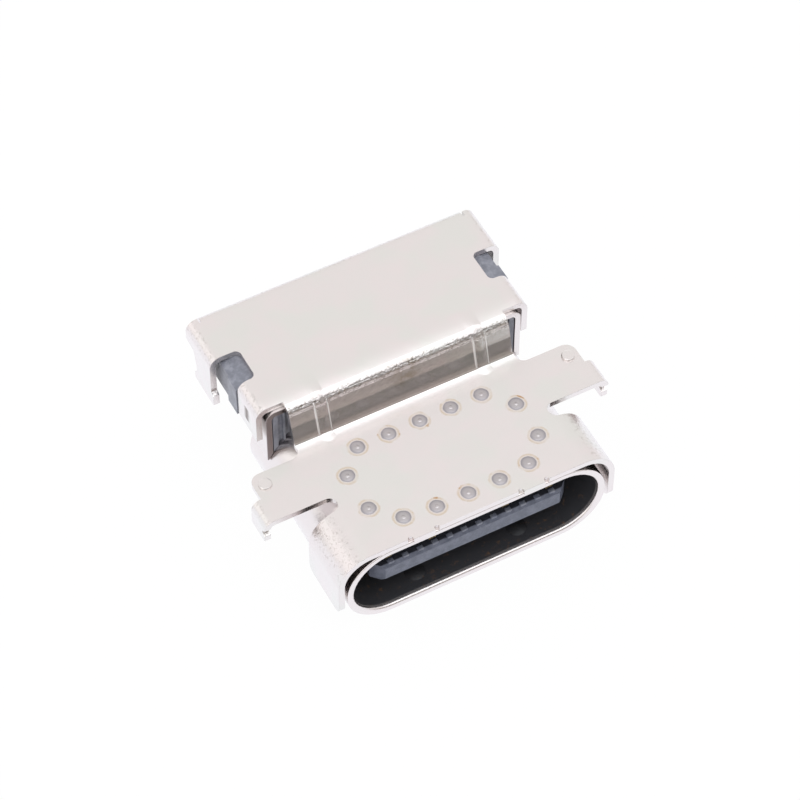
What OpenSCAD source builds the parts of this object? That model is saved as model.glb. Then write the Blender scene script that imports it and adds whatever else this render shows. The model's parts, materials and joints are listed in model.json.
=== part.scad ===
// A 24-way USB-C receptacle that is sunk into the edge of a circuit board.
// A drawn tube forms the mouth. One folded sheet covers the tube and the rear
// block: its ears lie on the board and its legs go through it. A second strap
// sits under the raised roof, over the black housing.
// X runs across the mouth, Y runs back into the connector and Z is up.
// The origin is the middle of the mouth, in the plane of its front edge.

/* [Mouth tube] */
// Inside width of the mouth
mouth_w = 8.34; // [8.2:0.01:8.6]
// Inside height of the mouth
mouth_h = 2.56; // [2.5:0.01:2.7]
// Wall of the drawn tube
tube_t = 0.25; // [0.18:0.01:0.3]
// Length of the tube, from the mouth back
tube_len = 6.45; // [6.4:0.05:6.6]
// Rounding of the inner rim, which leads the plug in
lead_in_r = 0.1; // [0.04:0.01:0.12]
// Rounding of the outer rim
rim_r = 0.04; // [0.02:0.01:0.05]
// Distance of each floor dimple from the middle
dimple_x = 1.76; // [1.2:0.02:2.2]
// Distance of the floor dimples from the mouth
dimple_y = 0.75; // [0.6:0.05:3]
// Radius of a floor dimple
dimple_r = 0.32; // [0.2:0.02:0.4]
// Height of a floor dimple
dimple_h = 0.08; // [0.04:0.01:0.1]

/* [Tongue] */
// Width of the tongue
tongue_w = 6.69; // [6.6:0.01:6.75]
// Thickness of the tongue
tongue_t = 0.7; // [0.66:0.01:0.8]
// Distance of the tongue's tip from the mouth
tongue_tip = 0.3; // [0.2:0.05:0.8]
// Distance of the step at the tongue's root from the mouth
root_step = 4.75; // [4.5:0.05:5]
// Thickness of the tongue behind that step
root_t = 1.2; // [1.1:0.05:1.4]
// Width of the tongue behind that step
root_w = 7.2; // [7:0.05:7.5]
// Cut of the tongue's two front corners
corner_cut = 0.36; // [0.2:0.02:0.45]
// Bevel along the tongue's front edges
tip_bevel = 0.1; // [0.05:0.01:0.13]
// Length of the tenon that holds the tongue in the housing
tenon_len = 0.4; // [0.3:0.05:0.45]
// Step from the root's faces down to the tenon's
tenon_step = 0.12; // [0.08:0.01:0.2]

/* [Contacts] */
// Contacts in each row
contact_count = 12; // [2:1:12]
// Spacing of the contacts
pitch = 0.5; // [0.48:0.01:0.5]
// Width of a contact
contact_w = 0.25; // [0.2:0.01:0.3]
// Thickness of a contact
contact_t = 0.12; // [0.1:0.01:0.14]
// How far the contacts stand out of the tongue's faces
contact_proud = 0.02; // [0.01:0.01:0.04]
// Distance of a power contact's tip from the tongue's tip
power_tip = 0.25; // [0.2:0.05:0.4]
// Distance of a signal contact's tip from the tongue's tip
signal_tip = 0.65; // [0.5:0.05:0.9]
// Gap between the tube's end and the upper row's riser
upper_rise_gap = 0.25; // [0.2:0.05:0.3]
// Distance between the two rows' risers
row_gap = 0.5; // [0.4:0.05:0.6]
// Length of a solder foot on the board
foot_len = 0.75; // [0.5:0.05:0.9]
// How far a contact's tip dips into the tongue
tip_dip = 0.05; // [0.02:0.01:0.08]
// Length of the slope at a contact's tip
tip_slope = 0.12; // [0.08:0.01:0.2]
// Gap left round metal that is set in or pressed against the mouldings
seam = 0.01; // [0.005:0.005:0.02]

/* [Mid plate and pads] */
// Thickness of the steel plate inside the tongue
mid_t = 0.15; // [0.1:0.01:0.18]
// How far the plate's front edge is behind the tongue's tip
mid_setback = 0.3; // [0.25:0.05:0.5]
// Start of the plate's bare side edges, from the mouth
latch_y = 1.2; // [1:0.1:1.6]
// Length of the plate's bare side edges
latch_len = 2.2; // [1.5:0.1:2.6]
// How far the moulding covers the plate's other side edges
mid_inset = 0.3; // [0.2:0.05:0.4]
// Thickness of the grounding pads at the tongue's root
pad_t = 0.1; // [0.06:0.01:0.14]
// Width of a grounding pad
pad_w = 6.2; // [5.5:0.1:6.8]
// Bare strip of the root in front of and behind a pad
pad_margin = 0.15; // [0.1:0.01:0.2]

/* [Cover sheet] */
// Thickness of the folded sheets
sheet_t = 0.2; // [0.15:0.01:0.22]
// Height of the rear roof above the front plate
roof_rise = 1.27; // [1.2:0.01:1.4]
// Gap between the tube's side and a front skirt
skirt_gap = 0.08; // [0.06:0.01:0.16]
// Depth of the front skirts below the middle of the mouth
skirt_drop = 0.6; // [0.3:0.05:0.9]
// Length of the front skirts
skirt_len = 1.95; // [1.6:0.05:2]
// Outside radius of the skirts' bend
skirt_bend = 1.1; // [0.95:0.05:1.15]
// Rounding of the skirts' lower corners
skirt_round = 0.3; // [0.15:0.05:0.4]
// Distance of each slot's blind end from the tube's side, inwards
slot_inset = 0.82; // [0.65:0.01:0.9]
// Front edge of the ears, from the mouth
ear_front = 2.45; // [2.3:0.05:2.5]
// Rear edge of the ears, from the mouth
ear_rear = 4.24; // [4.1:0.02:4.3]
// How far the legs stand out beyond the lobes' side edges
lobe_step = 0.33; // [0.25:0.01:0.4]
// Rounding of the ears' rear corners
ear_round = 0.35; // [0.2:0.05:0.4]
// Fillet between an ear and the riser
ear_fillet = 0.3; // [0.15:0.05:0.35]
// Length of an ear's rear lobe
lobe_len = 0.88; // [0.7:0.02:1]
// Distance of each carrier stub on the front edge from the middle
stub_x = 1.86; // [1.5:0.02:2.2]
// Width of a carrier stub
stub_w = 0.72; // [0.4:0.02:0.9]
// How far a carrier stub stands out in front
stub_out = 0.06; // [0.03:0.01:0.1]
// Radius of the small notches beside a stub
notch_r = 0.08; // [0.04:0.01:0.1]

/* [Legs of the ears] */
// Distance of a leg's outer face from the tube's side
leg_reach = 1.45; // [1.38:0.01:1.5]
// Length of an ear's leg below the board's top face
leg_depth = 0.72; // [0.5:0.02:1]
// Outside radius of the leg's bend
leg_bend = 0.33; // [0.3:0.01:0.38]
// How far a leg's front edge is set back from its ear's
leg_setback = 0.18; // [0.1:0.01:0.22]
// How far a barb stands out of a leg's front edge
barb = 0.14; // [0.05:0.01:0.2]
// Height of a barb
barb_h = 0.28; // [0.2:0.02:0.35]

/* [Bosses and welds] */
// Distance of a boss from the side edge of its lobe
boss_inset = 0.35; // [0.32:0.01:0.5]
// Distance of the bosses from the mouth
boss_y = 3.77; // [3.7:0.01:3.8]
// Diameter of a boss
boss_d = 0.42; // [0.3:0.02:0.5]
// Height of a boss
boss_h = 0.08; // [0.04:0.01:0.1]
// Rounding of a boss's upper edge
boss_round = 0.04; // [0.02:0.005:0.04]
// Spacing of the welds in the two long rows
weld_pitch = 1.06; // [0.9:0.02:1.1]
// How far the front row's end welds are set back
weld_bow = 0.12; // [0:0.02:0.2]
// Distance of the side welds from the tube's side, inwards
weld_inset = 1.54; // [1.52:0.01:1.7]
// Front weld at each side, from the mouth
weld_side_front = 1.56; // [1.4:0.02:1.8]
// Rear weld at each side, from the mouth
weld_side_rear = 2.91; // [2.6:0.01:3]
// Front row of welds, from the mouth
weld_front = 0.67; // [0.5:0.02:0.9]
// Rear row of welds, from the mouth
weld_rear = 3.72; // [3.5:0.02:3.8]
// Radius of a weld
weld_r = 0.28; // [0.2:0.01:0.32]
// Height of a weld's crown
weld_h = 0.025; // [0.01:0.005:0.04]

/* [Riser] */
// Foot of the riser's front face, from the mouth
riser_y = 4.67; // [4.6:0.01:4.8]
// Angle of the riser back from upright
riser_lean = 15.5; // [8:0.5:18]
// Distance of the riser's side edges from the tube's side, inwards
riser_inset = 0.67; // [0.62:0.01:0.8]
// Inside radius of the riser's lower bend
foot_bend = 0.12; // [0.08:0.01:0.2]
// Outside radius of the riser's upper bend
brow_bend = 0.36; // [0.3:0.02:0.4]
// Distance of each stiffening rib from the riser's side edge
rib_inset = 1.05; // [0.85:0.05:1.3]
// Width of a rib
rib_w = 0.5; // [0.3:0.05:0.6]
// Height of a rib
rib_h = 0.06; // [0.03:0.01:0.08]
// How far a rib runs onto the roof before its round end
rib_on_roof = 0.45; // [0.2:0.05:0.7]
// How far a rib runs onto the front plate before its round end
rib_on_plate = 0.08; // [0.04:0.02:0.2]

/* [Roof] */
// Front edge of the roof beside the riser, from the mouth
roof_front = 5.4; // [5.35:0.01:5.5]
// Distance of the cover's rear face behind the housing's
roof_overhang = 0.7; // [0.6:0.05:0.8]
// Gap between the inner strap and the roof's front flanges
strap_gap = 0.08; // [0.07:0.01:0.15]
// Outside radius of the roof's side bends
roof_bend = 0.38; // [0.3:0.01:0.4]
// Lower edge of the front flanges above the board
flange_gap = 0.08; // [0.04:0.02:0.4]
// Depth of the cut-outs, from the front flanges' outer faces
window_depth = 0.63; // [0.55:0.01:0.72]
// Front edge of the cut-outs, from the mouth
window_front = 6.65; // [6.6:0.01:6.7]
// Rear edge of the cut-outs, from the mouth
window_rear = 7.82; // [7.7:0.02:7.9]
// Rounding of the cut-outs' inner corners
window_round = 0.18; // [0.1:0.01:0.25]
// How far the rear flaps stand out beyond the front flanges
flap_step = 0.35; // [0.3:0.01:0.45]
// Distance of the flaps' rear edges from the cover's rear face
flap_setback = 0.2; // [0.15:0.05:0.4]
// Distance of the rear edges of the flaps' legs from those of the flaps
flap_leg_setback = 0.65; // [0.5:0.05:0.9]
// Lower edge of the flaps behind their legs, above the board
flap_shoulder = 0.77; // [0.5:0.05:0.9]
// Depth of the rear flaps' legs below the board's top face
flap_depth = 0.58; // [0.4:0.02:0.8]
// Distance of the rear wall's side edges from the flaps' outer faces
rear_wall_inset = 0.46; // [0.46:0.02:1]
// Lower edge of the rear wall above the board
rear_wall_gap = 0.35; // [0.25:0.05:0.5]
// Width of the relief cut between the rear wall and each flap
relief_w = 0.06; // [0.04:0.01:0.06]

/* [Inner strap] */
// Distance of the strap's legs from the tube's side, inwards
strap_inset = 0.05; // [0.03:0.01:0.06]
// Front edge of the strap, from the mouth
strap_front = 5.3; // [5.3:0.01:5.35]
// Rear edge of the strap, from the mouth
strap_rear = 6.4; // [6.2:0.05:6.4]
// Height of the strap's leg ends above the middle of the mouth
strap_foot = 0.6; // [0.55:0.05:1]
// Outside radius of the strap's bends
strap_bend = 0.34; // [0.3:0.01:0.36]

/* [Housing] */
// Length of the housing's plug inside the tube
plug_len = 0.45; // [0.4:0.05:0.5]
// Front face of the housing above the tube, from the mouth
saddle_front = 5.42; // [5.4:0.01:5.5]
// Rear face of the housing, from the mouth
housing_rear = 9; // [8.9:0.05:9.1]
// Clearance between the housing and the metal round it
fit = 0.03; // [0.02:0.005:0.04]
// Bevel along the top edges of the rear block
block_bevel_w = 0.36; // [0.3:0.02:0.4]
// Fall of that bevel
block_bevel_h = 0.12; // [0.08:0.02:0.2]
// Height of the rear block above the board
stand_off = 0.05; // [0.03:0.01:0.08]
// Length of the key on each side of the rear block
key_len = 0.6; // [0.4:0.05:0.8]
// How far the keys stand out
key_out = 0.06; // [0.03:0.01:0.08]
// Width of the outer rib at each side of the housing's front face
ridge_w = 0.17; // [0.12:0.01:0.2]
// Distance of the slim rib beside it from the housing's side
slim_inset = 0.38; // [0.32:0.01:0.44]
// Width of the slim rib
slim_w = 0.07; // [0.05:0.01:0.08]
// Height of those ribs
ridge_h = 0.1; // [0.05:0.01:0.11]

/* [Hidden] */
$fn = 64;

// Small distance by which a cutter passes the face that it opens
over = 0.1;
// Depth by which a raised feature is rooted in its sheet
root_in = 0.06;
// Half width that passes every side of the part
wide = 10;

// Top of the tube, which is also the board's top face under the ears
board = mouth_h / 2 + tube_t;
plate_top = board + sheet_t;
roof_top = plate_top + roof_rise;
roof_under = roof_top - sheet_t;
flat_w = mouth_w - mouth_h;

// Everything beside the tube is placed from its side, and the cover's rear
// from the housing's
tube_x = mouth_w / 2 + tube_t;
skirt_x = tube_x + skirt_gap + sheet_t;
slot_x = tube_x - slot_inset;
leg_x = tube_x + leg_reach;
ear_lobe_x = leg_x - lobe_step;
boss_x = ear_lobe_x - boss_inset;
weld_side_x = tube_x - weld_inset;
riser_x = tube_x - riser_inset;
rib_x = riser_x - rib_inset;
strap_x = tube_x - strap_inset;
flange_x = strap_x + strap_gap + sheet_t;
window_x = flange_x - window_depth;
roof_rear = housing_rear + roof_overhang;
flap_rear = roof_rear - flap_setback;
flap_leg_rear = flap_rear - flap_leg_setback;
flap_x = flange_x + flap_step;
rear_wall_x = flap_x - rear_wall_inset;

// Middle of the slots, and the front edge of the ears' rear lobes
slot_y = (skirt_len + ear_front) / 2;
lobe_front = ear_rear - lobe_len;
leg_front = ear_front + leg_setback;
leg_top = plate_top - leg_bend;
leg_low = board - leg_depth;
flap_low = board - flap_depth;

// Lengths along the riser's face to its two bends, and the bends' middles
foot_run = foot_bend * (1 - sin(riser_lean)) / cos(riser_lean);
brow_run = (roof_rise - brow_bend * (1 - sin(riser_lean))) / cos(riser_lean);
foot_y = riser_y + foot_run * sin(riser_lean) - foot_bend * cos(riser_lean);
brow_y = riser_y + brow_run * sin(riser_lean) + brow_bend * cos(riser_lean);

// Housing
plug_front = tube_len - plug_len;
upper_rise = tube_len + upper_rise_gap;
lower_rise = upper_rise + row_gap;
saddle_x = strap_x - sheet_t - fit;
slim_x = saddle_x - slim_inset;
saddle_round = strap_bend - sheet_t;
saddle_top = roof_under - sheet_t - 2 * seam;
block_x = flange_x - fit;
block_front = window_front + fit;
block_top = roof_under - seam;
block_low = board + stand_off;
spine_x = root_w / 2;
spine_low = fit - mouth_h / 2;

// Contacts
blade_z = tongue_t / 2 + contact_proud - contact_t / 2;
run_z = (block_low + block_top) / 2;
foot_z = board + contact_t / 2;

function contact_x(i) = (i - (contact_count + 1) / 2) * pitch;
// The end contacts and the fourth from each end carry ground or power
function is_power(i) =
    i == 1 || i == 4 || i == contact_count - 3 || i == contact_count;
function tip_y(i) = tongue_tip + (is_power(i) ? power_tip : signal_tip);

// Middle line of a contact from its tip to its solder foot, as [y, z]
function upper_path(i) = [
    [tip_y(i), blade_z - tip_dip],
    [tip_y(i) + tip_slope, blade_z],
    [upper_rise, blade_z],
    [upper_rise, run_z],
    [housing_rear, run_z],
    [housing_rear, foot_z],
    [housing_rear + foot_len, foot_z]
];
function lower_path(i) = [
    [tip_y(i), tip_dip - blade_z],
    [tip_y(i) + tip_slope, -blade_z],
    [lower_rise, -blade_z],
    [lower_rise, foot_z],
    [lower_rise + foot_len, foot_z]
];

function unit(v) = v / norm(v);
function left_of(v) = [-v[1], v[0]];
function heading(path, i) =
    unit(path[min(i + 1, len(path) - 1)] - path[min(i, len(path) - 2)]);
// Point i of a path, moved so that the segments on both sides of it move by d
function moved(path, i, d) =
    let (a = left_of(heading(path, max(i - 1, 0))), b = left_of(heading(path, i)))
    path[i] + d * (a + b) / (1 + a * b);
function strip_outline(path, t) = concat(
    [for (i = [0:len(path) - 1]) moved(path, i, t / 2)],
    [for (i = [len(path) - 1:-1:0]) moved(path, i, -t / 2)]
);

// ---- Helpers ----

// A side outline (y, z), w wide and centred on x = c
module along_x(w, c = 0) {
    translate([c, 0, 0]) rotate([90, 0, 90]) linear_extrude(w, center = true) children();
}

// A front outline (x, z) that runs from y0 to y1
module along_y(y0, y1) {
    translate([0, y1, 0]) rotate([90, 0, 0]) linear_extrude(y1 - y0) children();
}

// A plan (x, y) that runs from z0 to z1
module along_z(z0, z1) {
    translate([0, 0, z0]) linear_extrude(z1 - z0) children();
}

module both_sides() {
    children();
    mirror([1, 0, 0]) children();
}

// Box between two corners
module block(low, high) {
    translate(low) cube(high - low);
}

// Flat rectangle between two corners
module plan(low, high) {
    translate(low) square(high - low);
}

module stadium(w, h) {
    square([w - h, h], center = true);
    for (s = [-1, 1]) translate([s * (w - h) / 2, 0]) circle(d = h);
}

// Lower left quarter of a disc
module quarter(r) {
    intersection() {
        circle(r);
        plan([-r, -r], [0, 0]);
    }
}

// Upright outline with two rounded upper corners
module arch(half_w, low, high, r) {
    plan([-half_w, low], [half_w, high - r]);
    plan([r - half_w, low], [half_w - r, high]);
    for (s = [-1, 1]) translate([s * (half_w - r), high - r]) circle(r);
}

// Section of a sheet folded down on both sides
module folded(half_w, low, high, r) {
    difference() {
        arch(half_w, low, high, r);
        arch(half_w - sheet_t, low - over, high - sheet_t, r - sheet_t);
    }
}

// Part of a ring between two angles less than 120 degrees apart
module ring_sector(r, t, a0, a1) {
    far = 2 * (r + t);
    intersection() {
        difference() {
            circle(r + t);
            circle(r);
        }
        polygon(concat([[0, 0]], [for (a = [a0, (a0 + a1) / 2, a1]) far * [cos(a), sin(a)]]));
    }
}

// Low domed disc on the plane z = 0, rooted below it
module cap(r, h) {
    ball = (r * r + h * h) / (2 * h);
    intersection() {
        translate([0, 0, h - ball]) sphere(ball, $fn = 96);
        translate([0, 0, -root_in]) cylinder(r = r, h = h + root_in + over);
    }
}

// Solid inside the tube's outer face, grown by gap, from y0 to y1
module tube_core(gap, y0, y1) {
    along_y(y0, y1) stadium(mouth_w + 2 * (tube_t + gap), mouth_h + 2 * (tube_t + gap));
}

// ---- Mouth tube ----

// Wall of the tube as (distance from the middle, distance from the mouth)
module wall_profile() {
    inner = mouth_h / 2;
    outer = inner + tube_t;
    plan([inner, lead_in_r], [outer - rim_r, tube_len]);
    plan([inner + lead_in_r, 0], [outer - rim_r, tube_len]);
    plan([inner + lead_in_r, rim_r], [outer, tube_len]);
    translate([inner + lead_in_r, lead_in_r]) quarter(lead_in_r);
    translate([outer - rim_r, rim_r]) mirror([1, 0]) quarter(rim_r);
}

module half_round() {
    translate([flat_w / 2, 0, 0]) rotate([-90, 0, 0]) rotate([0, 0, -90])
        rotate_extrude(angle = 180) wall_profile();
}

module flat_wall() {
    rotate([0, -90, 0]) linear_extrude(flat_w, center = true) wall_profile();
}

module mouth_shell() {
    color("lightgray") difference() {
        union() {
            both_sides() half_round();
            flat_wall();
            mirror([0, 0, 1]) flat_wall();
            both_sides() translate([dimple_x, dimple_y, -mouth_h / 2]) cap(dimple_r, dimple_h);
        }
        // Hollow of each dimple on the outside of the floor
        both_sides() translate([dimple_x, dimple_y, -board]) cap(dimple_r, dimple_h);
    }
}

// ---- Cover sheet ----

module slot_plan() {
    r = (ear_front - skirt_len) / 2;
    translate([slot_x + r, slot_y]) circle(r);
    plan([slot_x + r, skirt_len], [wide, ear_front]);
}

// Stub left on the front edge where the strip that carried the part was cut
module stub_plan() {
    plan([stub_x - stub_w / 2, -stub_out], [stub_x + stub_w / 2, over]);
}

module notch_plan() {
    for (s = [-1, 1]) translate([stub_x + s * (stub_w / 2 + notch_r), 0]) circle(notch_r);
}

module skirt_side() {
    translate([skirt_len / 2, 0]) mirror([0, 1])
        arch(skirt_len / 2, -plate_top - over, skirt_drop, skirt_round);
    plan([skirt_len / 2, board - over], [slot_y, plate_top + over]);
}

module ear_plan() {
    plan([-leg_x - over, slot_y], [leg_x + over, lobe_front]);
    plan([-ear_lobe_x, slot_y], [ear_lobe_x, ear_rear - ear_round]);
    plan([ear_round - ear_lobe_x, slot_y], [ear_lobe_x - ear_round, ear_rear]);
    for (s = [-1, 1])
        translate([s * (ear_lobe_x - ear_round), ear_rear - ear_round]) circle(ear_round);
}

// Neck of the plate that runs back to the riser, with a fillet at each side
module neck_plan() {
    corner = riser_x + ear_fillet;
    difference() {
        plan([-corner, ear_rear - over], [corner, foot_y]);
        for (s = [-1, 1]) translate([s * corner, ear_rear + ear_fillet]) circle(ear_fillet);
        plan([riser_x, ear_rear + ear_fillet], [wide, wide]);
        plan([-wide, ear_rear + ear_fillet], [-riser_x, wide]);
    }
}

module front_plate() {
    difference() {
        union() {
            intersection() {
                along_y(0, slot_y) folded(skirt_x, -skirt_drop, plate_top, skirt_bend);
                along_x(2 * wide) skirt_side();
            }
            intersection() {
                along_y(slot_y, ear_rear) folded(leg_x, leg_low, plate_top, leg_bend);
                along_z(-wide, wide) ear_plan();
            }
            along_z(board, plate_top) neck_plan();
            both_sides() along_z(board, plate_top) stub_plan();
        }
        both_sides() along_z(-wide, wide) slot_plan();
        both_sides() leg_relief();
        both_sides() along_z(board - over, plate_top + over) notch_plan();
    }
}

// Space in front of a leg, which is narrower than its ear
module leg_relief() {
    along_x(sheet_t + 2 * over, leg_x - sheet_t / 2) polygon([
        [ear_front - over, leg_low - over],
        [leg_front, leg_low - over],
        [leg_front, leg_top - leg_setback],
        [ear_front - over, leg_top + over]
    ]);
}

// Barb at the front edge of an ear's leg
module leg_barb() {
    along_x(sheet_t, leg_x - sheet_t / 2) polygon([
        [leg_front + over, leg_low],
        [leg_front - barb / 2, leg_low],
        [leg_front - barb, leg_low + barb / 2],
        [leg_front - barb, leg_low + barb_h],
        [leg_front, leg_low + barb_h + barb / 2],
        [leg_front + over, leg_low + barb_h + barb / 2]
    ]);
}

module riser_section() {
    translate([foot_y, plate_top + foot_bend])
        ring_sector(foot_bend, sheet_t, -90, -riser_lean);
    translate([riser_y, plate_top]) rotate(90 - riser_lean)
        plan([foot_run, -sheet_t], [brow_run, 0]);
    translate([brow_y, roof_top - brow_bend])
        ring_sector(brow_bend - sheet_t, sheet_t, 90, 180 - riser_lean);
}

// Crown of a rib as (height above the sheet, distance across)
module rib_section() {
    ball = (rib_w * rib_w / 4 + rib_h * rib_h) / (2 * rib_h);
    intersection() {
        translate([rib_h - ball, 0]) circle(ball, $fn = 96);
        plan([-root_in, -rib_w / 2], [rib_h + over, rib_w / 2]);
    }
}

// Turns a rib's section so that it can be drawn out along Y
module lay_along_y() {
    rotate([90, 0, 90]) rotate([90, 0, 90]) children();
}

// Rib that follows the sheet from the front plate up the riser to the roof
module rib() {
    front = foot_y - rib_on_plate;
    rear = brow_y + rib_on_roof;
    translate([0, front, plate_top]) cap(rib_w / 2, rib_h);
    translate([0, front, plate_top]) lay_along_y() linear_extrude(rib_on_plate) rib_section();
    translate([0, foot_y, plate_top + foot_bend]) rotate([90, 0, 90]) rotate([0, 0, -90])
        rotate_extrude(angle = 90 - riser_lean)
        translate([foot_bend, 0]) mirror([1, 0]) rib_section();
    translate([0, riser_y, plate_top]) rotate([90, 0, 90]) rotate([0, 0, 90 - riser_lean])
        rotate([90, 0, 90]) translate([0, 0, foot_run])
        linear_extrude(brow_run - foot_run) rib_section();
    translate([0, brow_y, roof_top - brow_bend]) rotate([90, 0, 90]) rotate([0, 0, 90])
        rotate_extrude(angle = 90 - riser_lean)
        translate([brow_bend, 0]) rib_section();
    translate([0, brow_y, roof_top]) lay_along_y() linear_extrude(rib_on_roof) rib_section();
    translate([0, rear, roof_top]) cap(rib_w / 2, rib_h);
}

// Side outline of a rear flap and its leg
module flap_side() {
    polygon([
        [window_rear, roof_top + over],
        [window_rear, flap_low + 2 * barb_h],
        [window_rear - barb, flap_low + 2 * barb_h - barb / 2],
        [window_rear - barb, flap_low + barb / 2],
        [window_rear - barb / 2, flap_low],
        [flap_leg_rear + barb, flap_low],
        [flap_leg_rear + barb, flap_low + barb_h],
        [flap_leg_rear, flap_low + barb_h + barb],
        [flap_leg_rear, board + barb],
        [flap_leg_rear + barb, board + flap_shoulder - barb / 2],
        [flap_rear, board + flap_shoulder],
        [flap_rear, roof_top + over]
    ]);
}

// Rear wall and the bend above it, as (y, z)
module rear_section() {
    translate([roof_rear - roof_bend, roof_top - roof_bend])
        ring_sector(roof_bend - sheet_t, sheet_t, 0, 90);
    plan([roof_rear - sheet_t, board + rear_wall_gap], [roof_rear, roof_top - roof_bend]);
}

// Roof between the two cut-outs, whose inner corners are rounded
module waist_plan() {
    corner = window_x + window_round;
    difference() {
        plan([-corner, window_front - over], [corner, window_rear + over]);
        for (s = [-1, 1]) {
            translate([s * corner, window_front + window_round]) circle(window_round);
            translate([s * corner, window_rear - window_round]) circle(window_round);
            plan([s * corner - window_round, window_front + window_round],
                [s * corner + window_round, window_rear - window_round]);
        }
    }
}

module roof() {
    bend_start = roof_rear - roof_bend;
    block([-riser_x, brow_y, roof_under], [riser_x, roof_front + over, roof_top]);
    along_y(roof_front, window_front)
        folded(flange_x, board + flange_gap, roof_top, roof_bend);
    along_z(roof_under, roof_top) waist_plan();
    difference() {
        intersection() {
            along_y(window_rear - barb, flap_rear) folded(flap_x, flap_low, roof_top, roof_bend);
            along_x(2 * wide) flap_side();
        }
        // Room for the rear wall's bend and the relief cuts beside it
        block([-rear_wall_x - relief_w, bend_start, flap_low],
            [rear_wall_x + relief_w, wide, roof_top + over]);
    }
    along_x(2 * rear_wall_x) rear_section();
}

// Raised disc with a rounded edge
module boss() {
    rotate_extrude() {
        plan([0, -root_in], [boss_d / 2, boss_h - boss_round]);
        plan([0, -root_in], [boss_d / 2 - boss_round, boss_h]);
        translate([boss_d / 2 - boss_round, boss_h - boss_round])
            mirror([1, 0]) mirror([0, 1]) quarter(boss_round);
    }
}

// Two rows of five and one pair at each side; the front row's ends lie further back
module welds() {
    steps = [-2:2];
    for (i = steps) translate([i * weld_pitch, weld_rear, plate_top]) cap(weld_r, weld_h);
    for (i = steps)
        translate([i * weld_pitch, weld_front + (abs(i) == 2 ? weld_bow : 0), plate_top])
            cap(weld_r, weld_h);
    both_sides() for (y = [weld_side_front, weld_side_rear])
        translate([weld_side_x, y, plate_top]) cap(weld_r, weld_h);
}

module top_cover() {
    color("gainsboro") difference() {
        union() {
            front_plate();
            both_sides() leg_barb();
            along_x(2 * riser_x) riser_section();
            roof();
            both_sides() translate([rib_x, 0, 0]) rib();
            both_sides() translate([boss_x, boss_y, plate_top]) boss();
            welds();
        }
        // Hollow left under each boss
        both_sides() translate([boss_x, boss_y, board - over])
            cylinder(d = boss_d - 2 * boss_round, h = boss_h + over);
    }
}

// ---- Inner strap ----

module inner_strap() {
    color("silver") difference() {
        along_y(strap_front, strap_rear)
            folded(strap_x, strap_foot, roof_under - seam, strap_bend);
        tube_core(seam, strap_front - over, strap_rear + over);
    }
}

// ---- Housing, tongue and what they carry ----

// Space for contact i of both rows, wider than the contact by gap all round
module contact_strip(path, i, gap) {
    along_x(contact_w + 2 * gap, contact_x(i))
        polygon(strip_outline(path, contact_t + 2 * gap));
}

module channels() {
    for (i = [1:contact_count]) {
        contact_strip(upper_path(i), i, seam);
        contact_strip(lower_path(i), i, seam);
    }
}

module tenon(gap) {
    half_x = root_w / 2 - tenon_step + gap;
    half_z = root_t / 2 - tenon_step + gap;
    block([-half_x, plug_front - over, -half_z], [half_x, plug_front + tenon_len + gap, half_z]);
}

// Section of the rear block, bevelled along its two upper edges
module block_section() {
    polygon([
        [-block_x, block_low],
        [block_x, block_low],
        [block_x, block_top - block_bevel_h],
        [block_x - block_bevel_w, block_top],
        [block_bevel_w - block_x, block_top],
        [-block_x, block_top - block_bevel_h]
    ]);
}

// Part of the housing that sits on the tube, under the strap
module saddle() {
    difference() {
        union() {
            along_y(saddle_front, block_front + over)
                arch(saddle_x, 0, saddle_top, saddle_round);
            intersection() {
                both_sides() block([saddle_x - ridge_w, saddle_front - ridge_h, 0],
                    [saddle_x, saddle_front + over, saddle_top]);
                along_y(saddle_front - ridge_h, block_front)
                    arch(saddle_x, 0, saddle_top, saddle_round);
            }
            both_sides() block([slim_x - slim_w / 2, saddle_front - ridge_h, 0],
                [slim_x + slim_w / 2, saddle_front + over, saddle_top]);
        }
        tube_core(seam, 0, tube_len + seam);
    }
}

module housing() {
    color("darkslategray") difference() {
        union() {
            along_y(plug_front, tube_len) stadium(mouth_w - 2 * fit, mouth_h - 2 * fit);
            block([-spine_x, tube_len, spine_low], [spine_x, lower_rise, block_low + over]);
            both_sides() block([block_x - over, block_front, board],
                [block_x + key_out, block_front + key_len, block_top - block_bevel_h]);
            saddle();
            along_y(block_front, housing_rear) block_section();
        }
        tenon(seam);
        channels();
    }
}

module blade_plan() {
    half = tongue_w / 2;
    polygon([
        [corner_cut - half, tongue_tip],
        [half - corner_cut, tongue_tip],
        [half, tongue_tip + corner_cut],
        [half, root_step + over],
        [-half, root_step + over],
        [-half, tongue_tip + corner_cut]
    ]);
}

module blade_side() {
    half = tongue_t / 2;
    polygon([
        [tongue_tip, tip_bevel - half],
        [tongue_tip + tip_bevel, -half],
        [root_step + over, -half],
        [root_step + over, half],
        [tongue_tip + tip_bevel, half],
        [tongue_tip, half - tip_bevel]
    ]);
}

// Plan of the steel plate, grown by gap; out lets its bare edges pass the moulding
module mid_plan(gap, out) {
    inner = tongue_w / 2 - mid_inset + gap;
    outer = tongue_w / 2 + out;
    plan([-inner, tongue_tip + mid_setback - gap],
        [inner, plug_front + tenon_len - mid_inset + gap]);
    plan([-outer, latch_y - gap], [outer, latch_y + latch_len + gap]);
}

module tongue() {
    color("dimgray") difference() {
        union() {
            intersection() {
                along_z(-wide, wide) blade_plan();
                along_x(2 * wide) blade_side();
            }
            block([-root_w / 2, root_step, -root_t / 2], [root_w / 2, plug_front, root_t / 2]);
            tenon(0);
        }
        along_z(-mid_t / 2 - seam, mid_t / 2 + seam) mid_plan(seam, over);
        channels();
    }
}

module mid_plate() {
    color("darkgray") along_z(-mid_t / 2, mid_t / 2) mid_plan(0, 0);
}

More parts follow.
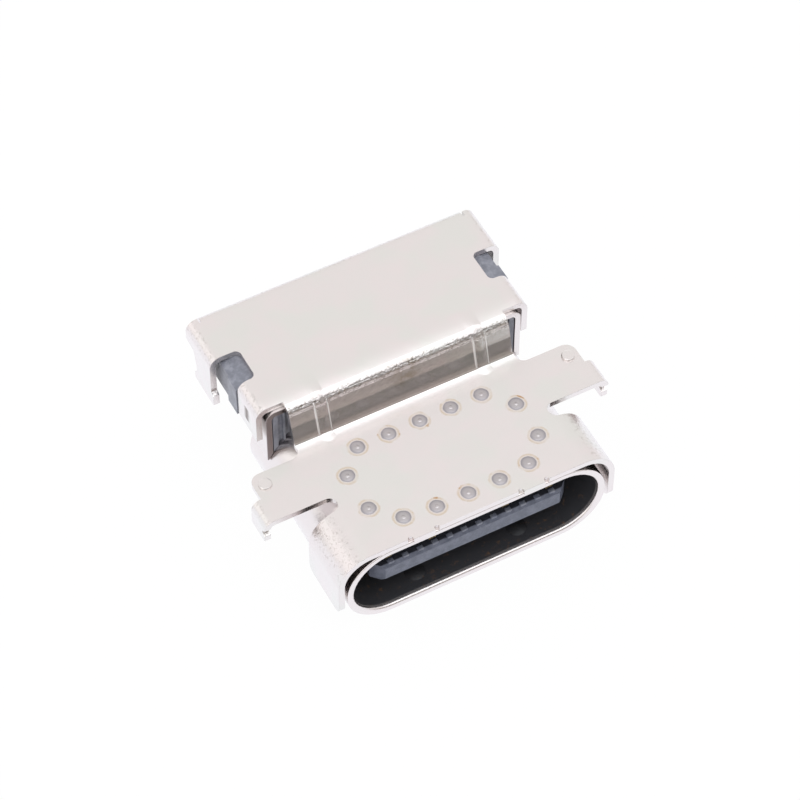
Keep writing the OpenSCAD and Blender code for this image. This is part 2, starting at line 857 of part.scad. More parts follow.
module ground_pad() {
    block([-pad_w / 2, root_step + pad_margin, root_t / 2],
        [pad_w / 2, plug_front - pad_margin, root_t / 2 + pad_t]);
}

mouth_shell();
top_cover();
inner_strap();
housing();
tongue();
mid_plate();
color("silver") ground_pad();  // ground_pad_top
color("silver") mirror([0, 0, 1]) ground_pad();  // ground_pad_bottom
for (i = [1:contact_count]) {
    color("goldenrod") contact_strip(upper_path(i), i, 0);
    color("goldenrod") contact_strip(lower_path(i), i, 0);
}
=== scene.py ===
"""Looks of a sunk, 24-way USB-C socket: finishes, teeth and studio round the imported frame."""
import json
import math

import bpy
from mathutils import Matrix, Vector

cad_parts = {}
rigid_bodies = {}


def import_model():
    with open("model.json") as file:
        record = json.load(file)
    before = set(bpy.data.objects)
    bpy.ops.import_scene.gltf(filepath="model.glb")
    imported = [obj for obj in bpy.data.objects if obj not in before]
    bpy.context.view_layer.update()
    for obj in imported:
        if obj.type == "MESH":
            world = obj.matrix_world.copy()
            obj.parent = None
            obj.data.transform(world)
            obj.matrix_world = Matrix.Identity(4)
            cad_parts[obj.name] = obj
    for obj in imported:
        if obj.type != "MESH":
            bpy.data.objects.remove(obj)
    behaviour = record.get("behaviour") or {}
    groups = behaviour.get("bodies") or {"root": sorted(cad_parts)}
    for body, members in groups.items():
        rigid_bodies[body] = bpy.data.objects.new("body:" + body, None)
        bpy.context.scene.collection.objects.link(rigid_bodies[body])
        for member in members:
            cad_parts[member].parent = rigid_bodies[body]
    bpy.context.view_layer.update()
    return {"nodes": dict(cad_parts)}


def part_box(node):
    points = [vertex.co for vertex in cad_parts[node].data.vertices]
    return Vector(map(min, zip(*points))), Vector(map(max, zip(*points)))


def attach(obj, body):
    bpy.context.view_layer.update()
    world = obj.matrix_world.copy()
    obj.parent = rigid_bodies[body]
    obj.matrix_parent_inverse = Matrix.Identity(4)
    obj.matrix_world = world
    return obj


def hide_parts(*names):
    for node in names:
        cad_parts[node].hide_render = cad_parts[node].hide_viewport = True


bl_info = {
    "name": "Sunk connector socket",
    "version": (1, 0, 0),
    "blender": (4, 5, 0),
    "location": "3D View > Sidebar > Socket",
    "description": "Dresses the frame of a sunk board connector with its finishes",
    "category": "Object",
}

for leftover in list(bpy.data.objects):
    bpy.data.objects.remove(leftover, do_unlink=True)
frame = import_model()

BODY = "root"
MM = 0.001
FLOOR_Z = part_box("mouth_shell")[0][2]

# Places in millimetres, in the frame's axes
SHEET = 0.2
TUBE_WALL = 0.25
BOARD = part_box("mouth_shell")[1][2] / MM
FLAT_HALF = 2.89
MOUTH_RADIUS = BOARD - TUBE_WALL
PLATE_FACE = BOARD + SHEET
RIB_HEIGHT = 0.06
RIB_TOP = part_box("top_cover")[1][2] / MM
ROOF_FACE = RIB_TOP - RIB_HEIGHT
RIB_X = 2.7
RIB_HALF = 0.21
WELD_PITCH = 1.06
WELD_BOW = 0.12
WELD_FRONT_Y = 0.67
WELD_REAR_Y = 3.72
WELD_SIDE_X = 2.88
WELD_SIDE_YS = (1.56, 2.91)
RISER_TOP = 2.85
RISER_Y = 4.9
FOOT_Y = 4.6
BROW_Y = 5.1
BEND_Z = 2.34
NICK = (-4.65, 6.05)
DIMPLE = (1.76, 0.75)
STRAP_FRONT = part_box("inner_strap")[0][1] / MM
TONGUE_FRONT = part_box("tongue")[0][1] / MM
BLADE_TOP = 0.35
TEETH = 12
TOOTH_PITCH = 0.5


# ---- Shader helpers ----

class Wire:
    """An output socket; arithmetic on it adds Math nodes to its tree."""

    def __init__(self, shader, socket):
        self.shader = shader
        self.socket = socket

    def math(self, operation, *values):
        return self.shader.add("Math", dict(enumerate((self, *values))), {"operation": operation})

    def __add__(self, other):
        return self.math("ADD", other)

    def __sub__(self, other):
        return self.math("SUBTRACT", other)

    def __mul__(self, other):
        return self.math("MULTIPLY", other)

    def __truediv__(self, other):
        return self.math("DIVIDE", other)

    def __rsub__(self, other):
        return self.shader.add("Math", {0: other, 1: self}, {"operation": "SUBTRACT"})

    def __rtruediv__(self, other):
        return self.shader.add("Math", {0: other, 1: self}, {"operation": "DIVIDE"})

    def __neg__(self):
        return self * -1

    def __abs__(self):
        return self.math("ABSOLUTE")

    def __lt__(self, other):
        return self.math("LESS_THAN", other)

    def __gt__(self, other):
        return self.math("GREATER_THAN", other)

    __radd__ = __add__
    __rmul__ = __mul__

    def least(self, other):
        return self.math("MINIMUM", other)

    def most(self, other):
        return self.math("MAXIMUM", other)

    def step(self, start, end):
        """0 before start and 1 past end, smooth between them; end may be below start."""
        return self.shader.add(
            "MapRange", {"Value": self, "From Min": start, "From Max": end},
            {"interpolation_type": "SMOOTHSTEP", "clamp": True})

    def bell(self, centre, width):
        """1 at centre, falling smoothly to 0 at width from it."""
        return abs(self - centre).step(width, 0)

    def root(self):
        return self.math("SQRT")


class Shader:
    """Builds one material's or the world's nodes."""

    def __init__(self, owner):
        owner.use_nodes = True
        self.tree = owner.node_tree
        self.tree.nodes.clear()

    def add(self, kind, values=None, settings=None, out=0):
        """Makes a node; the Wire is one of its outputs, by number or name."""
        node = self.tree.nodes.new("ShaderNode" + kind)
        for key, value in (settings or {}).items():
            setattr(node, key, value)
        for key, value in (values or {}).items():
            self.feed(node.inputs[key], value)
        return Wire(self, node.outputs[out]) if node.outputs else None

    def feed(self, socket, value):
        if isinstance(value, Wire):
            self.tree.links.new(value.socket, socket)
        elif isinstance(value, (tuple, list)) and socket.type == "RGBA" and len(value) == 3:
            socket.default_value = (*value, 1)
        else:
            socket.default_value = value

    def mix(self, factor, first, second):
        return self.add("Mix", {0: factor, 6: first, 7: second}, {"data_type": "RGBA"}, out=2)

    def place(self):
        """Object coordinates in millimetres."""
        raw = self.add("TexCoord", out=3)
        return self.add("VectorMath", {0: raw, 3: 1 / MM}, {"operation": "SCALE"})

    def split(self, vector):
        """The x, y and z of a vector."""
        node = self.add("SeparateXYZ", {0: vector}).socket.node
        return [Wire(self, socket) for socket in node.outputs]

    def noise(self, place, scale, detail=3, rough=0.55, seed=0.0):
        """Fractal noise from 0 to 1; scale is in features per millimetre."""
        shifted = self.add("VectorMath", {0: place, 1: (seed, seed * 1.7, seed * 0.6)},
                           {"operation": "ADD"})
        return self.add("TexNoise", {"Vector": shifted, "Scale": scale, "Detail": detail,
                                     "Roughness": rough})

    def bump(self, height, distance, strength=1.0, normal=None):
        """A normal tilted by a height; distance is what a height of 1 stands for, in metres."""
        values = {"Height": height, "Distance": distance, "Strength": strength}
        if normal is not None:
            values["Normal"] = normal
        return self.add("Bump", values)

    def finish(self, constants, values):
        """The Principled surface: constants are set on its sockets, values are linked."""
        surface = self.add("BsdfPrincipled", {**constants, **values})
        self.add("OutputMaterial", {"Surface": surface})


def material(name):
    made = bpy.data.materials.new(name)
    return made, Shader(made)


# ---- Mesh helpers ----

SMOOTH_ANGLE = math.radians(32)


def deselect_all():
    if bpy.context.object and bpy.context.object.mode != "OBJECT":
        bpy.ops.object.mode_set(mode="OBJECT")
    bpy.ops.object.select_all(action="DESELECT")


def make_active(piece):
    deselect_all()
    piece.select_set(True)
    bpy.context.view_layer.objects.active = piece


def scale_mesh(piece, factor):
    """Scales the piece about the origin and applies that to its mesh."""
    make_active(piece)
    piece.scale = (factor, factor, factor)
    bpy.ops.object.transform_apply(location=True, rotation=True, scale=True)


def flatten(piece, low, high, level, share):
    """Scales the height above a level by a share, for the points inside a box."""
    make_active(piece)
    bpy.ops.object.mode_set(mode="EDIT")
    bpy.ops.mesh.select_mode(type="VERT")
    bpy.ops.mesh.select_all(action="DESELECT")
    bpy.ops.object.mode_set(mode="OBJECT")
    for point in piece.data.vertices:
        point.select = all(a < b < c for a, b, c in zip(low, point.co, high))
    bpy.ops.object.mode_set(mode="EDIT")
    bpy.ops.transform.resize(value=(1, 1, share), center_override=(0, 0, level))
    bpy.ops.object.mode_set(mode="OBJECT")


def dressed_copy(node, name, finish, soft_mm, flats=()):
    """Replaces a CAD node by a copy with softened edges, worked on in millimetres."""
    piece = bpy.data.objects.new(name, frame["nodes"][node].data.copy())
    bpy.context.collection.objects.link(piece)
    scale_mesh(piece, 1 / MM)
    bpy.ops.mesh.customdata_custom_splitnormals_clear()
    bpy.ops.object.mode_set(mode="EDIT")
    bpy.ops.mesh.select_all(action="SELECT")
    bpy.ops.mesh.remove_doubles(threshold=0.0005)
    bpy.ops.mesh.dissolve_limited(angle_limit=math.radians(0.6))
    bpy.ops.object.mode_set(mode="OBJECT")
    for flat in flats:
        flatten(piece, *flat)
    bevel = piece.modifiers.new("soft edges", "BEVEL")
    bevel.width = soft_mm
    bevel.segments = 2
    bevel.limit_method = "ANGLE"
    bevel.angle_limit = math.radians(35)
    bpy.ops.object.modifier_apply(modifier=bevel.name)
    bpy.ops.object.shade_smooth_by_angle(angle=SMOOTH_ANGLE)
    even = piece.modifiers.new("flat faces", "WEIGHTED_NORMAL")
    even.weight = 100
    even.keep_sharp = True
    bpy.ops.object.modifier_apply(modifier=even.name)
    scale_mesh(piece, MM)
    piece.data.materials.clear()
    piece.data.materials.append(finish)
    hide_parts(node)
    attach(piece, BODY)


def dress_node(node, finish):
    """Gives a CAD node a finish and leaves its mesh alone."""
    for slot in frame["nodes"][node].material_slots:
        slot.material = finish


# ---- Finishes ----

def distance(dx, dy):
    return (dx * dx + dy * dy).root()


def weld_distance(x, y):
    """Distance in millimetres from the nearest weld's middle."""
    column = (x / WELD_PITCH).math("ROUND").most(-2).least(2)
    across = x - column * WELD_PITCH
    bow = (abs(column) > 1.5) * WELD_BOW
    nearest = distance(across, y - WELD_REAR_Y).least(distance(across, y - WELD_FRONT_Y - bow))
    for side_y in WELD_SIDE_YS:
        nearest = nearest.least(distance(abs(x) - WELD_SIDE_X, y - side_y))
    return nearest


def bend_mask(s):
    """1 where a face lies aslant of all three axes, as the bends do."""
    nx, ny, nz = s.split(s.add("TexCoord", out=1))
    return abs(nx).most(abs(ny)).most(abs(nz)).step(0.985, 0.93)


def weld_colours(s, p, base, reach, on_plate, colours):
    """Grey weld discs with a darker rim, inside straw-coloured and scorched heat rings."""
    uneven = s.noise(p, 3.0, 2, 0.5, seed=19.0).step(0.3, 0.6)
    ring = reach.bell(0.31, 0.06) * on_plate * uneven
    fill = reach.step(0.34, 0.29) * on_plate
    disc = reach.step(0.25, 0.225) * on_plate
    base = s.mix(fill * 0.25, base, tuple(colours.heat_tan))
    base = s.mix(ring * 0.75, base, tuple(colours.heat_tan))
    scorch = s.noise(p, 4.0, 2, 0.5, seed=23.0).step(0.6, 0.72)
    base = s.mix(ring * scorch, base, tuple(colours.scorch))
    base = s.mix(disc, base, tuple(colours.weld_grey))
    rim = reach.bell(0.215, 0.04) * on_plate
    return s.mix(rim * 0.45, base, tuple(colours.weld_rim)), disc


def riser_colours(s, p, base, cloud, on_riser, colours):
    """Painted shade darkens the riser's lower part, and a stain lies across its middle."""
    x, y, z = s.split(p)
    # Painted shade: the riser's lower part, which faces the dark front, is darkened
    painted_shade = (z + (cloud - 0.5) * 0.15).step(BEND_Z + 0.06, BEND_Z - 0.04) * on_riser
    base = s.mix(painted_shade * 0.9, base, tuple(colours.painted_shade))
    stain = (x - 0.05).bell(0, 1.0) * z.step(1.9, 2.5) * y.bell(4.95, 0.4)
    patches = s.noise(p, 2.4, 3, 0.6, seed=11.0)
    return s.mix(stain * patches.step(0.35, 0.7) * 0.7, base, tuple(colours.stain))


def nick_colours(s, p, base, colours):
    """Brown nick in the left front flange."""
    x, y, z = s.split(p)
    side_x, mid_y = NICK
    outside = (x - side_x).step(0.03, 0.0)
    nick = y.bell(mid_y, 0.22) * z.step(1.93, 1.98) * z.step(2.56, 2.48)
    hook = y.bell(mid_y - 0.05, 0.2) * z.bell(2.28, 0.09)
    return s.mix(nick.most(hook) * outside, base, tuple(colours.nick))


def cover_finish(colours):
    """Mottled satin nickel: galled bends, welds, a stain, painted shade and rib highlights."""
    made, s = material("satin nickel cover")
    p = s.place()
    x, y, z = s.split(p)
    cloud = s.noise(p, 1.6, 3, 0.6)
    tint = s.noise(p, 0.75, 2, 0.5, seed=7.0)
    base = s.mix(cloud.step(0.35, 0.7), tuple(colours.nickel), tuple(colours.nickel_pink))
    base = s.mix(tint.step(0.42, 0.68) * 0.7, base, tuple(colours.nickel_green))

    on_plate = (z - PLATE_FACE).bell(0, 0.06)
    wobble = (s.noise(p, 5.0, 2, 0.5, seed=3.0) - 0.5) * 0.05
    reach = weld_distance(x, y) + wobble
    base, disc = weld_colours(s, p, base, reach, on_plate, colours)
    on_riser = z.step(PLATE_FACE, PLATE_FACE + 0.08) * z.step(RISER_TOP, RISER_TOP - 0.1)
    on_riser = on_riser * y.bell(RISER_Y, 0.5)
    base = riser_colours(s, p, base, cloud, on_riser, colours)
    base = nick_colours(s, p, base, colours)

    # Worn specks on the bends but not the riser's foot, thickest under the brow
    bends = bend_mask(s) * (1 - y.bell(FOOT_Y, 0.35) * z.step(2.05, 1.95))
    under_brow = z.step(2.48, 2.6) * z.step(2.99, 2.93) * y.bell(BROW_Y, 0.42)
    # Painted shade: the band under the brow is darkened towards the riser's shade colour
    base = s.mix(under_brow * 0.2, base, tuple(colours.painted_shade))
    specks = s.noise(p, 11.0, 2, 0.7, seed=31.0).step(0.53, 0.64)
    base = s.mix(specks * bends * (0.25 + under_brow * 0.5), base, tuple(colours.speck))

    # Painted highlights: pale, less metallic lines along both edges of each rib
    rib_highlight = (abs(abs(x) - RIB_X) - RIB_HALF).bell(0, 0.05) * y.bell(RISER_Y, 1.0).step(0.1, 0.5)
    rib_highlight = rib_highlight * z.step(PLATE_FACE, PLATE_FACE + 0.05) * z.step(RISER_TOP + 0.05, RISER_TOP - 0.05)
    base = s.mix(rib_highlight * 0.8, base, tuple(colours.painted_rib_highlight))

    grain = s.noise(p, 26.0, 3, 0.6, seed=5.0)
    ripple = s.noise(p, 3.5, 2, 0.5, seed=2.0)
    galls = s.noise(p, 9.0, 2, 0.6, seed=17.0) * bends * (1.2 + under_brow * 0.8)
    bent = s.bump((grain - 0.5) * 0.16 + ripple * 0.35 + galls, 0.012 * MM, 0.8)
    bent = s.bump(rib_highlight, 0.02 * MM, 1.0, bent)
    # The riser's upper part leans into its bend
    lean = (z - BEND_Z).most(0).least(0.42)
    bent = s.bump(lean * on_riser * -0.12, MM, 1.0, bent)
    # Each weld is a low button with a nub in its middle
    button = reach.step(0.25, 0.14) * 0.5 + reach.step(0.075, 0.02)
    bent = s.bump(button * on_plate, 0.02 * MM, 1.0, bent)
    # The roof falls away a little before its front bend, and the plate rises before the riser
    near_brow = (5.9 - y).most(0) * (y > 5.0) * (z > ROOF_FACE - 0.09)
    bent = s.bump(near_brow * near_brow * -0.12, MM, 1.0, bent)
    near_foot = (y - 4.25).most(0).least(0.45) * (y < 4.75) * (z < PLATE_FACE + 0.12)
    bent = s.bump(near_foot * near_foot * 0.35, MM, 1.0, bent)
    rough = 0.24 + (cloud - 0.5) * 0.08 + disc * 0.10
    # The painted rib highlights are made less metallic, so their pale colour shows
    s.finish({}, {"Base Color": base, "Metallic": 1 - rib_highlight * 0.75, "Roughness": rough,
                  "Normal": bent})
    return made


def tube_finish(colours):
    """Drawn nickel tube: bright and smooth outside; rougher, with painted shade, in the mouth."""
    made, s = material("drawn nickel tube")
    p = s.place()
    x, y, z = s.split(p)
    cloud = s.noise(p, 1.3, 3, 0.55, seed=4.0)
    base = s.mix(cloud.step(0.35, 0.7), tuple(colours.nickel), tuple(colours.nickel_pink))
    radius = distance((abs(x) - FLAT_HALF).most(0), z)
    inside = radius.step(MOUTH_RADIUS + 0.08, MOUTH_RADIUS + 0.03) * y.step(0.06, 0.2)
    # Painted shade: the mouth's inside is painted near black, browner low down, and made less
    # metallic
    dark = s.mix(s.noise(p, 5.0, 3, 0.7, seed=8.0).step(0.56, 0.72) * z.step(-0.4, -0.9),
                 tuple(colours.painted_mouth_shade), tuple(colours.mouth_brown))
    base = s.mix(inside, base, dark)
    # Painted shade in the dimples of the tube's floor
    dimple_shade = distance(abs(x) - DIMPLE[0], y - DIMPLE[1]).step(0.36, 0.3) * inside
    base = s.mix(dimple_shade * 0.5, base, tuple(colours.painted_dimple_shade))
    fine = s.noise(p, 30.0, 3, 0.6)
    rough = 0.22 + inside * 0.24 + (cloud - 0.5) * 0.06
    bent = s.bump(fine + s.noise(p, 4.0, 2, 0.5) * 0.8, 0.006 * MM, 0.7)
    s.finish({}, {"Base Color": base, "Metallic": 1 - inside * 0.7, "Roughness": rough,
                  "Normal": bent})
    return made


def strap_finish(colours):
    """Satin nickel, with painted shade on the left of the front's sheared edge."""
    made, s = material("satin nickel strap")
    p = s.place()
    x, y = s.split(p)[:2]
    cloud = s.noise(p, 1.8, 3, 0.6, seed=6.0)
    base = s.mix(cloud.step(0.35, 0.7), tuple(colours.nickel), tuple(colours.nickel_pink))
    # Painted shade: the sheared front edge is darkened on its left only
    edge_shade = y.step(STRAP_FRONT + 0.03, STRAP_FRONT) * x.step(0.5, -0.5)
    base = s.mix(edge_shade * 0.9, base, tuple(colours.painted_edge_shade))
    bent = s.bump(s.noise(p, 24.0, 3, 0.6), 0.008 * MM, 0.7)
    s.finish({"Metallic": 1.0},
             {"Base Color": base, "Roughness": 0.26 + cloud * 0.06, "Normal": bent})
    return made


def plastic_finish(name, dark, pale, colours, shade=None):
    """Moulded plastic with a fine sparked texture, flow clouds and pale dust.

    A shade darkens the tongue's flat faces behind its front edge.
    """
    made, s = material(name)
    p = s.place()
    cloud = s.noise(p, 4.0, 4, 0.65, seed=9.0)
    base = s.mix(cloud.step(0.35, 0.7), dark, pale)
    if shade:
        y, z = s.split(p)[1:]
        base = s.mix(abs(z).step(0.33, 0.345) * y.step(0.38, 0.44) * 0.85, base, shade)
    dust = s.noise(p, 14.0, 2, 0.7, seed=13.0).step(0.66, 0.8)
    base = s.mix(dust * 0.25, base, tuple(colours.dust))
    spark = s.noise(p, 38.0, 3, 0.7)
    rough = 0.38 + (cloud - 0.5) * 0.15 + dust * 0.2
    bent = s.bump(spark, 0.010 * MM, 0.8)
    s.finish({"Specular IOR Level": 0.5}, {"Base Color": base, "Roughness": rough, "Normal": bent})
    return made


def contact_finish(colours):
    """Gold over the blades, tin over the solder feet."""
    made, s = material("gold and tin contact")
    p = s.place()
    y = s.split(p)[1]
    wear = s.noise(p, 8.0, 3, 0.6, seed=2.0)
    gold = s.mix(wear.step(0.4, 0.75), tuple(colours.gold), tuple(colours.gold_worn))
    base = s.mix((y + (wear - 0.5) * 0.3).step(6.9, 7.3), gold, tuple(colours.tin))
    bent = s.bump(s.noise(p, 30.0, 2, 0.6), 0.006 * MM, 0.6)
    s.finish({"Metallic": 1.0},
             {"Base Color": base, "Roughness": 0.27 + wear * 0.1, "Normal": bent})
    return made


def steel_finish(colours):
    """Bare steel with rolling lines along x."""
    made, s = material("bare stainless steel")
    p = s.place()
    streak = s.add("Mapping", {"Vector": p, "Scale": (1.0, 14.0, 1.0)})
    lines = s.noise(streak, 3.0, 3, 0.6)
    base = s.mix(lines.step(0.3, 0.7), tuple(colours.steel), tuple(colours.steel_dull))
    bent = s.bump(lines, 0.006 * MM, 0.6)
    s.finish({"Metallic": 1.0},
             {"Base Color": base, "Roughness": 0.3 + lines * 0.1, "Normal": bent})
    return made


# ---- Values that a user would change ----

def colour(label, text, value):
    return bpy.props.FloatVectorProperty(
        name=label, description=text, subtype="COLOR", size=3, min=0, max=1, default=value)


class SocketColours(bpy.types.PropertyGroup):
    nickel: colour("Nickel", "Plated sheet and tube", (0.765, 0.715, 0.70))
    nickel_pink: colour("Pink cloud", "Warm clouds in the plating", (0.775, 0.71, 0.70))
    nickel_green: colour("Green cloud", "Cool clouds in the plating", (0.735, 0.725, 0.69))
    heat_tan: colour("Heat ring", "Straw colour round each weld", (0.66, 0.54, 0.42))
    scorch: colour("Scorch", "Browner places in the heat rings", (0.50, 0.30, 0.15))
    weld_grey: colour("Weld", "Dull metal of a weld", (0.37, 0.345, 0.365))
    weld_rim: colour("Weld rim", "Darker rim of a weld", (0.25, 0.235, 0.26))
    # Painted shade: darkens the riser's lower part and the band under the brow
    painted_shade: colour("Dull nickel", "Lower part of the riser", (0.53, 0.515, 0.50))
    # Painted highlight along both edges of each rib
    painted_rib_highlight: colour("Burnished", "Rubbed edges of the ribs", (0.72, 0.69, 0.67))
    speck: colour("Specks", "Worn specks on the bends", (0.34, 0.29, 0.25))
    stain: colour("Stain", "Brown stain on the riser", (0.36, 0.27, 0.16))
    nick: colour("Nick", "Brown nick in the flange", (0.14, 0.10, 0.08))
    # Painted shade on the left of the strap's sheared front edge
    painted_edge_shade: colour("Cut edge", "Sheared edge of the sheet", (0.21, 0.17, 0.165))
    # Painted shade inside the tube
    painted_mouth_shade: colour("Mouth", "Inside of the tube", (0.045, 0.045, 0.051))
    # Painted shade in the dimples of the tube's floor
    painted_dimple_shade: colour("Dimples", "Dimples in the tube's floor", (0.01, 0.01, 0.011))
    mouth_brown: colour("Mouth tint", "Brown tint inside the tube", (0.14, 0.085, 0.055))
    housing: colour("Housing", "Black moulding", (0.17, 0.175, 0.21))
    housing_pale: colour("Housing clouds", "Paler flow clouds", (0.27, 0.275, 0.32))
    tongue: colour("Tongue", "Tongue moulding", (0.095, 0.105, 0.145))
    tongue_pale: colour("Tongue clouds", "Paler flow clouds", (0.15, 0.16, 0.21))
    tooth: colour("Teeth", "Teeth along the tongue", (0.24, 0.25, 0.29))
    dust: colour("Dust", "Fine dust", (0.45, 0.43, 0.40))
    gold: colour("Gold", "Gold on the contacts", (0.83, 0.60, 0.27))
    gold_worn: colour("Worn gold", "Rubbed gold", (0.70, 0.55, 0.33))
    tin: colour("Tin", "Tin on the solder feet", (0.74, 0.74, 0.73))
    steel: colour("Steel", "Plate inside the tongue", (0.62, 0.61, 0.60))
    steel_dull: colour("Dull steel", "Rolling lines", (0.50, 0.50, 0.50))
    shade: colour("Tongue shade", "Tongue's faces behind its front edge", (0.02, 0.02, 0.024))
    backdrop: colour("Floor", "Floor and backdrop", (1.0, 1.0, 1.0))


class SocketSizes(bpy.types.PropertyGroup):
    sheet_edge: bpy.props.FloatProperty(
        name="Sheet edge", description="Softening of the stamped sheet's edges, in millimetres",
        default=0.022, min=0.0, max=0.05)
    tooth_edge: bpy.props.FloatProperty(
        name="Tooth edge", description="Softening of the tongue's teeth, in millimetres",
        default=0.02, min=0.0, max=0.04)
    floor_size: bpy.props.FloatProperty(
        name="Floor", description="Width of the floor",
        default=1.2, subtype="DISTANCE", unit="LENGTH")


# ---- One operator for each piece or group ----

class DressCover(bpy.types.Operator):
    """Softens the folded cover's edges and plates it"""
    bl_idname = "socket.cover"
    bl_label = "Cover"

    def execute(self, context):
        scene = context.scene
        finish = cover_finish(scene.socket_colours)
        # The ribs fade out where they run onto the roof and the plate
        reach = RIB_X + 0.5
        flats = [((-reach, front, face + 0.001), (reach, rear, face + 0.1), face, 0.4)
                 for face, front, rear in ((ROOF_FACE, 5.3, 6.5), (PLATE_FACE, 4.1, 4.64))]
        dressed_copy("top_cover", "folded_cover", finish, scene.socket_sizes.sheet_edge, flats)
        return {"FINISHED"}


class DressTube(bpy.types.Operator):
    """Plates the mouth tube"""
    bl_idname = "socket.tube"
    bl_label = "Mouth tube"

    def execute(self, context):
        dress_node("mouth_shell", tube_finish(context.scene.socket_colours))
        return {"FINISHED"}


class DressStrap(bpy.types.Operator):
    """Softens and plates the strap under the roof"""
    bl_idname = "socket.strap"
    bl_label = "Inner strap"

    def execute(self, context):
        scene = context.scene
        finish = strap_finish(scene.socket_colours)
        dressed_copy("inner_strap", "roof_strap", finish, scene.socket_sizes.sheet_edge)
        return {"FINISHED"}


class DressMouldings(bpy.types.Operator):
    """Gives the housing and the tongue their moulded plastic"""
    bl_idname = "socket.mouldings"
    bl_label = "Mouldings"

    def execute(self, context):
        c = context.scene.socket_colours
        dress_node("housing", plastic_finish(
            "black moulding", tuple(c.housing), tuple(c.housing_pale), c))
        dress_node("tongue", plastic_finish(
            "tongue moulding", tuple(c.tongue), tuple(c.tongue_pale), c, tuple(c.shade)))
        return {"FINISHED"}


class BuildTeeth(bpy.types.Operator):
    """Adds the small moulded teeth over the contacts' tips"""
    bl_idname = "socket.teeth"
    bl_label = "Tongue teeth"

    def execute(self, context):
        scene = context.scene
        c = scene.socket_colours
        finish = plastic_finish("tooth moulding", tuple(c.tongue_pale), tuple(c.tooth), c)
        made = []
        for side, setback in ((1, 0.13), (-1, 0.22)):
            for i in range(TEETH):
                deselect_all()
                bpy.ops.mesh.primitive_cube_add(size=1, location=(
                    (i - (TEETH - 1) / 2) * TOOTH_PITCH, TONGUE_FRONT + setback,
                    side * (BLADE_TOP - 0.01)))
                tooth = bpy.context.object
                tooth.scale = (0.2, 0.14, 0.11)
                bpy.ops.object.transform_apply(location=True, rotation=True, scale=True)
                bevel = tooth.modifiers.new("soft edges", "BEVEL")
                bevel.width = scene.socket_sizes.tooth_edge
                bevel.segments = 2
                bpy.ops.object.modifier_apply(modifier=bevel.name)
                made.append(tooth)
        deselect_all()
        for tooth in made:
            tooth.select_set(True)
        bpy.context.view_layer.objects.active = made[0]
        bpy.ops.object.join()
        piece = bpy.context.object
        bpy.ops.object.shade_smooth_by_angle(angle=SMOOTH_ANGLE)
        scale_mesh(piece, MM)
        piece.name = "tongue_teeth"
        piece.data.materials.append(finish)
        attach(piece, BODY)
        return {"FINISHED"}


class DressContacts(bpy.types.Operator):
    """Plates the contacts and finishes the steel between them"""
    bl_idname = "socket.contacts"
    bl_label = "Contacts and steel"

    def execute(self, context):
        c = context.scene.socket_colours
        plated = contact_finish(c)
        steel = steel_finish(c)
        for node in frame["nodes"]:
            if node.startswith("contact_"):
                dress_node(node, plated)
        for node in ("mid_plate", "ground_pad_top", "ground_pad_bottom"):
            dress_node(node, steel)
        return {"FINISHED"}


class BuildStage(bpy.types.Operator):
    """Floor, soft light and camera"""
    bl_idname = "socket.stage"
    bl_label = "Stage"

    def execute(self, context):
        scene = context.scene
        build_floor(scene)
        build_world(scene)
        build_lamps()
        build_camera(scene)
        scene.view_settings.view_transform = "Standard"
        return {"FINISHED"}


def ray_kinds(s, *kinds):
    """1 for a ray of any of these kinds."""
    path = s.add("LightPath").socket.node
    first, *others = [Wire(s, path.outputs[kind]) for kind in kinds]
    for other in others:
        first = first.most(other)
    return first


def build_floor(scene):
    """White for the camera, its own brightness in the metal, and a faint shadow."""
    deselect_all()
    bpy.ops.mesh.primitive_plane_add(size=scene.socket_sizes.floor_size, location=(0, 0, FLOOR_Z))
    floor = bpy.context.object
    floor.name = "floor"
    made, s = material("white floor")
    white = tuple(scene.socket_colours.backdrop)
    seen = ray_kinds(s, "Is Camera Ray", "Is Glossy Ray", "Is Transmission Ray")
    lit = s.add("BsdfDiffuse", {"Color": (0.9, 0.9, 0.9)})
    y = s.split(s.place())[1]
    shine = s.mix(y.step(-8, -20), (1.13, 1.16, 1.22), (0.42, 0.40, 0.38))
    shine = s.mix(ray_kinds(s, "Is Glossy Ray"), white, shine)
    glow = s.add("Emission", {"Color": shine, "Strength": 1.0})
    both = s.add("MixShader", {0: seen * 0.97, 1: lit, 2: glow})
    s.add("OutputMaterial", {"Surface": both})
    floor.data.materials.append(made)


def build_world(scene):
    """White room: its front dark low down and bright above, its left a little brighter."""
    world = bpy.data.worlds.new("studio")
    scene.world = world
    s = Shader(world)
    way = s.add("TexCoord", out=0)
    x, y, z = s.split(way)
    frontal = (-y).step(0.35, 0.9)
    low = z.step(0.60, 0.47)
    level = s.mix(frontal * low, (1.0, 1.0, 1.0), (0.10, 0.10, 0.10))
    horizon = z.step(0.35, 0.24)
    level = s.mix(frontal * horizon, level, (0.62, 0.565, 0.525))
    left = (-x).step(0.3, 0.6) * z.step(0.05, 0.2) * z.step(0.75, 0.6)
    level = s.mix(left, level, (1.22, 1.22, 1.22))
    top = (z - y * 0.6).step(0.64, 0.84) * z.step(0.58, 0.74)
    level = s.mix(top, level, (1.57, 1.62, 1.66))
    level = s.mix(ray_kinds(s, "Is Camera Ray"), level, (1, 1, 1))
    room = s.add("Background", {"Color": level, "Strength": 1.0})
    s.add("OutputWorld", {"Surface": room})


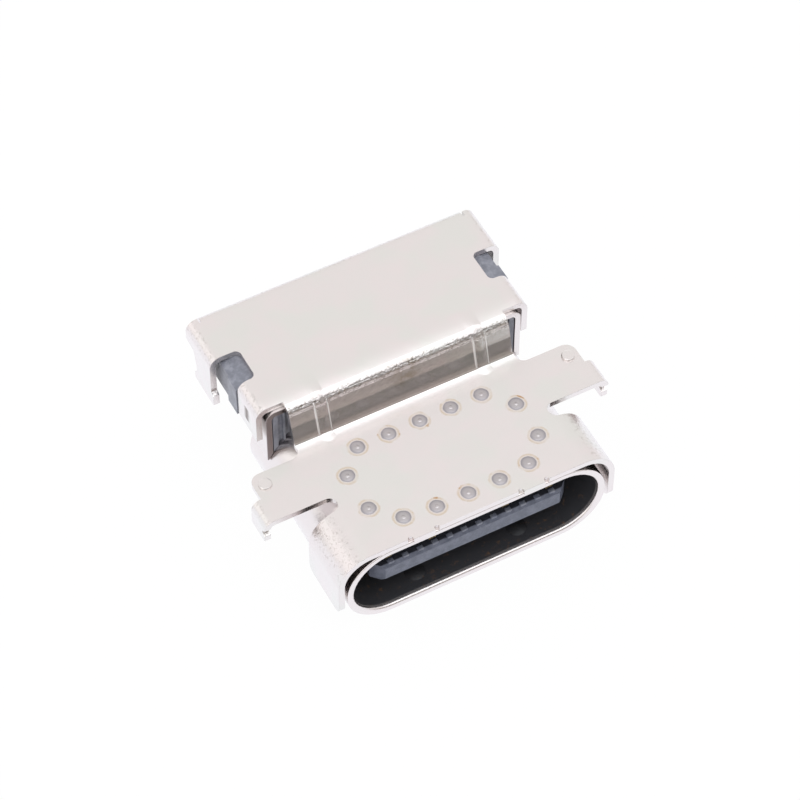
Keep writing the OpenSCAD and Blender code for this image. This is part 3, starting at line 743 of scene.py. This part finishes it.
def build_lamps():
    aim = Vector((0, 4.5, 0)) * MM
    for name, place, size, power in (
            ("soft_top", (0.02, -0.01, 0.16), 0.08, 0.010),
            ("soft_left", (-0.14, -0.02, 0.10), 0.10, 0.010)):
        lamp = bpy.data.lights.new(name, "AREA")
        lamp.size = size
        lamp.energy = power
        holder = bpy.data.objects.new(name, lamp)
        holder.location = place
        holder.rotation_euler = (aim - Vector(place)).to_track_quat("-Z", "Y").to_euler()
        bpy.context.collection.objects.link(holder)


def build_camera(scene):
    azimuth = math.radians(-28.087)
    elevation = math.radians(52.239)
    back = Vector((math.sin(azimuth) * math.cos(elevation),
                   -math.cos(azimuth) * math.cos(elevation), math.sin(elevation)))
    right = Vector((math.cos(azimuth), math.sin(azimuth), 0))
    up = (-back).cross(right) * -1
    aim = Vector((0, 4.5, 0.6))
    camera = bpy.data.cameras.new("camera")
    camera.sensor_width = 36
    camera.lens = 147.14
    camera.clip_start = 0.01
    camera.clip_end = 10
    holder = bpy.data.objects.new("camera", camera)
    holder.location = (aim + 100 * back - 0.2275 * right + 0.7720 * up) * MM
    holder.rotation_euler = Matrix((right, up, back)).transposed().to_euler()
    bpy.context.collection.objects.link(holder)
    scene.camera = holder


class SocketPanel(bpy.types.Panel):
    """Lists the steps and their values"""
    bl_idname = "VIEW3D_PT_socket"
    bl_label = "Socket"
    bl_space_type = "VIEW_3D"
    bl_region_type = "UI"
    bl_category = "Socket"

    def draw(self, context):
        for step in STEPS:
            self.layout.operator(step.bl_idname)
        for group in (context.scene.socket_sizes, context.scene.socket_colours):
            for name in group.bl_rna.properties.keys():
                if name not in ("name", "rna_type"):
                    self.layout.prop(group, name)


STEPS = (DressCover, DressTube, DressStrap, DressMouldings, BuildTeeth, DressContacts, BuildStage)
CLASSES = (SocketColours, SocketSizes, *STEPS, SocketPanel)


def register():
    for entry in CLASSES:
        bpy.utils.register_class(entry)
    bpy.types.Scene.socket_colours = bpy.props.PointerProperty(type=SocketColours)
    bpy.types.Scene.socket_sizes = bpy.props.PointerProperty(type=SocketSizes)


def unregister():
    del bpy.types.Scene.socket_sizes
    del bpy.types.Scene.socket_colours
    for entry in reversed(CLASSES):
        bpy.utils.unregister_class(entry)


def main():
    register()
    for step in STEPS:
        group, name = step.bl_idname.split(".")
        getattr(getattr(bpy.ops, group), name)()


if __name__ == "__main__":
    main()
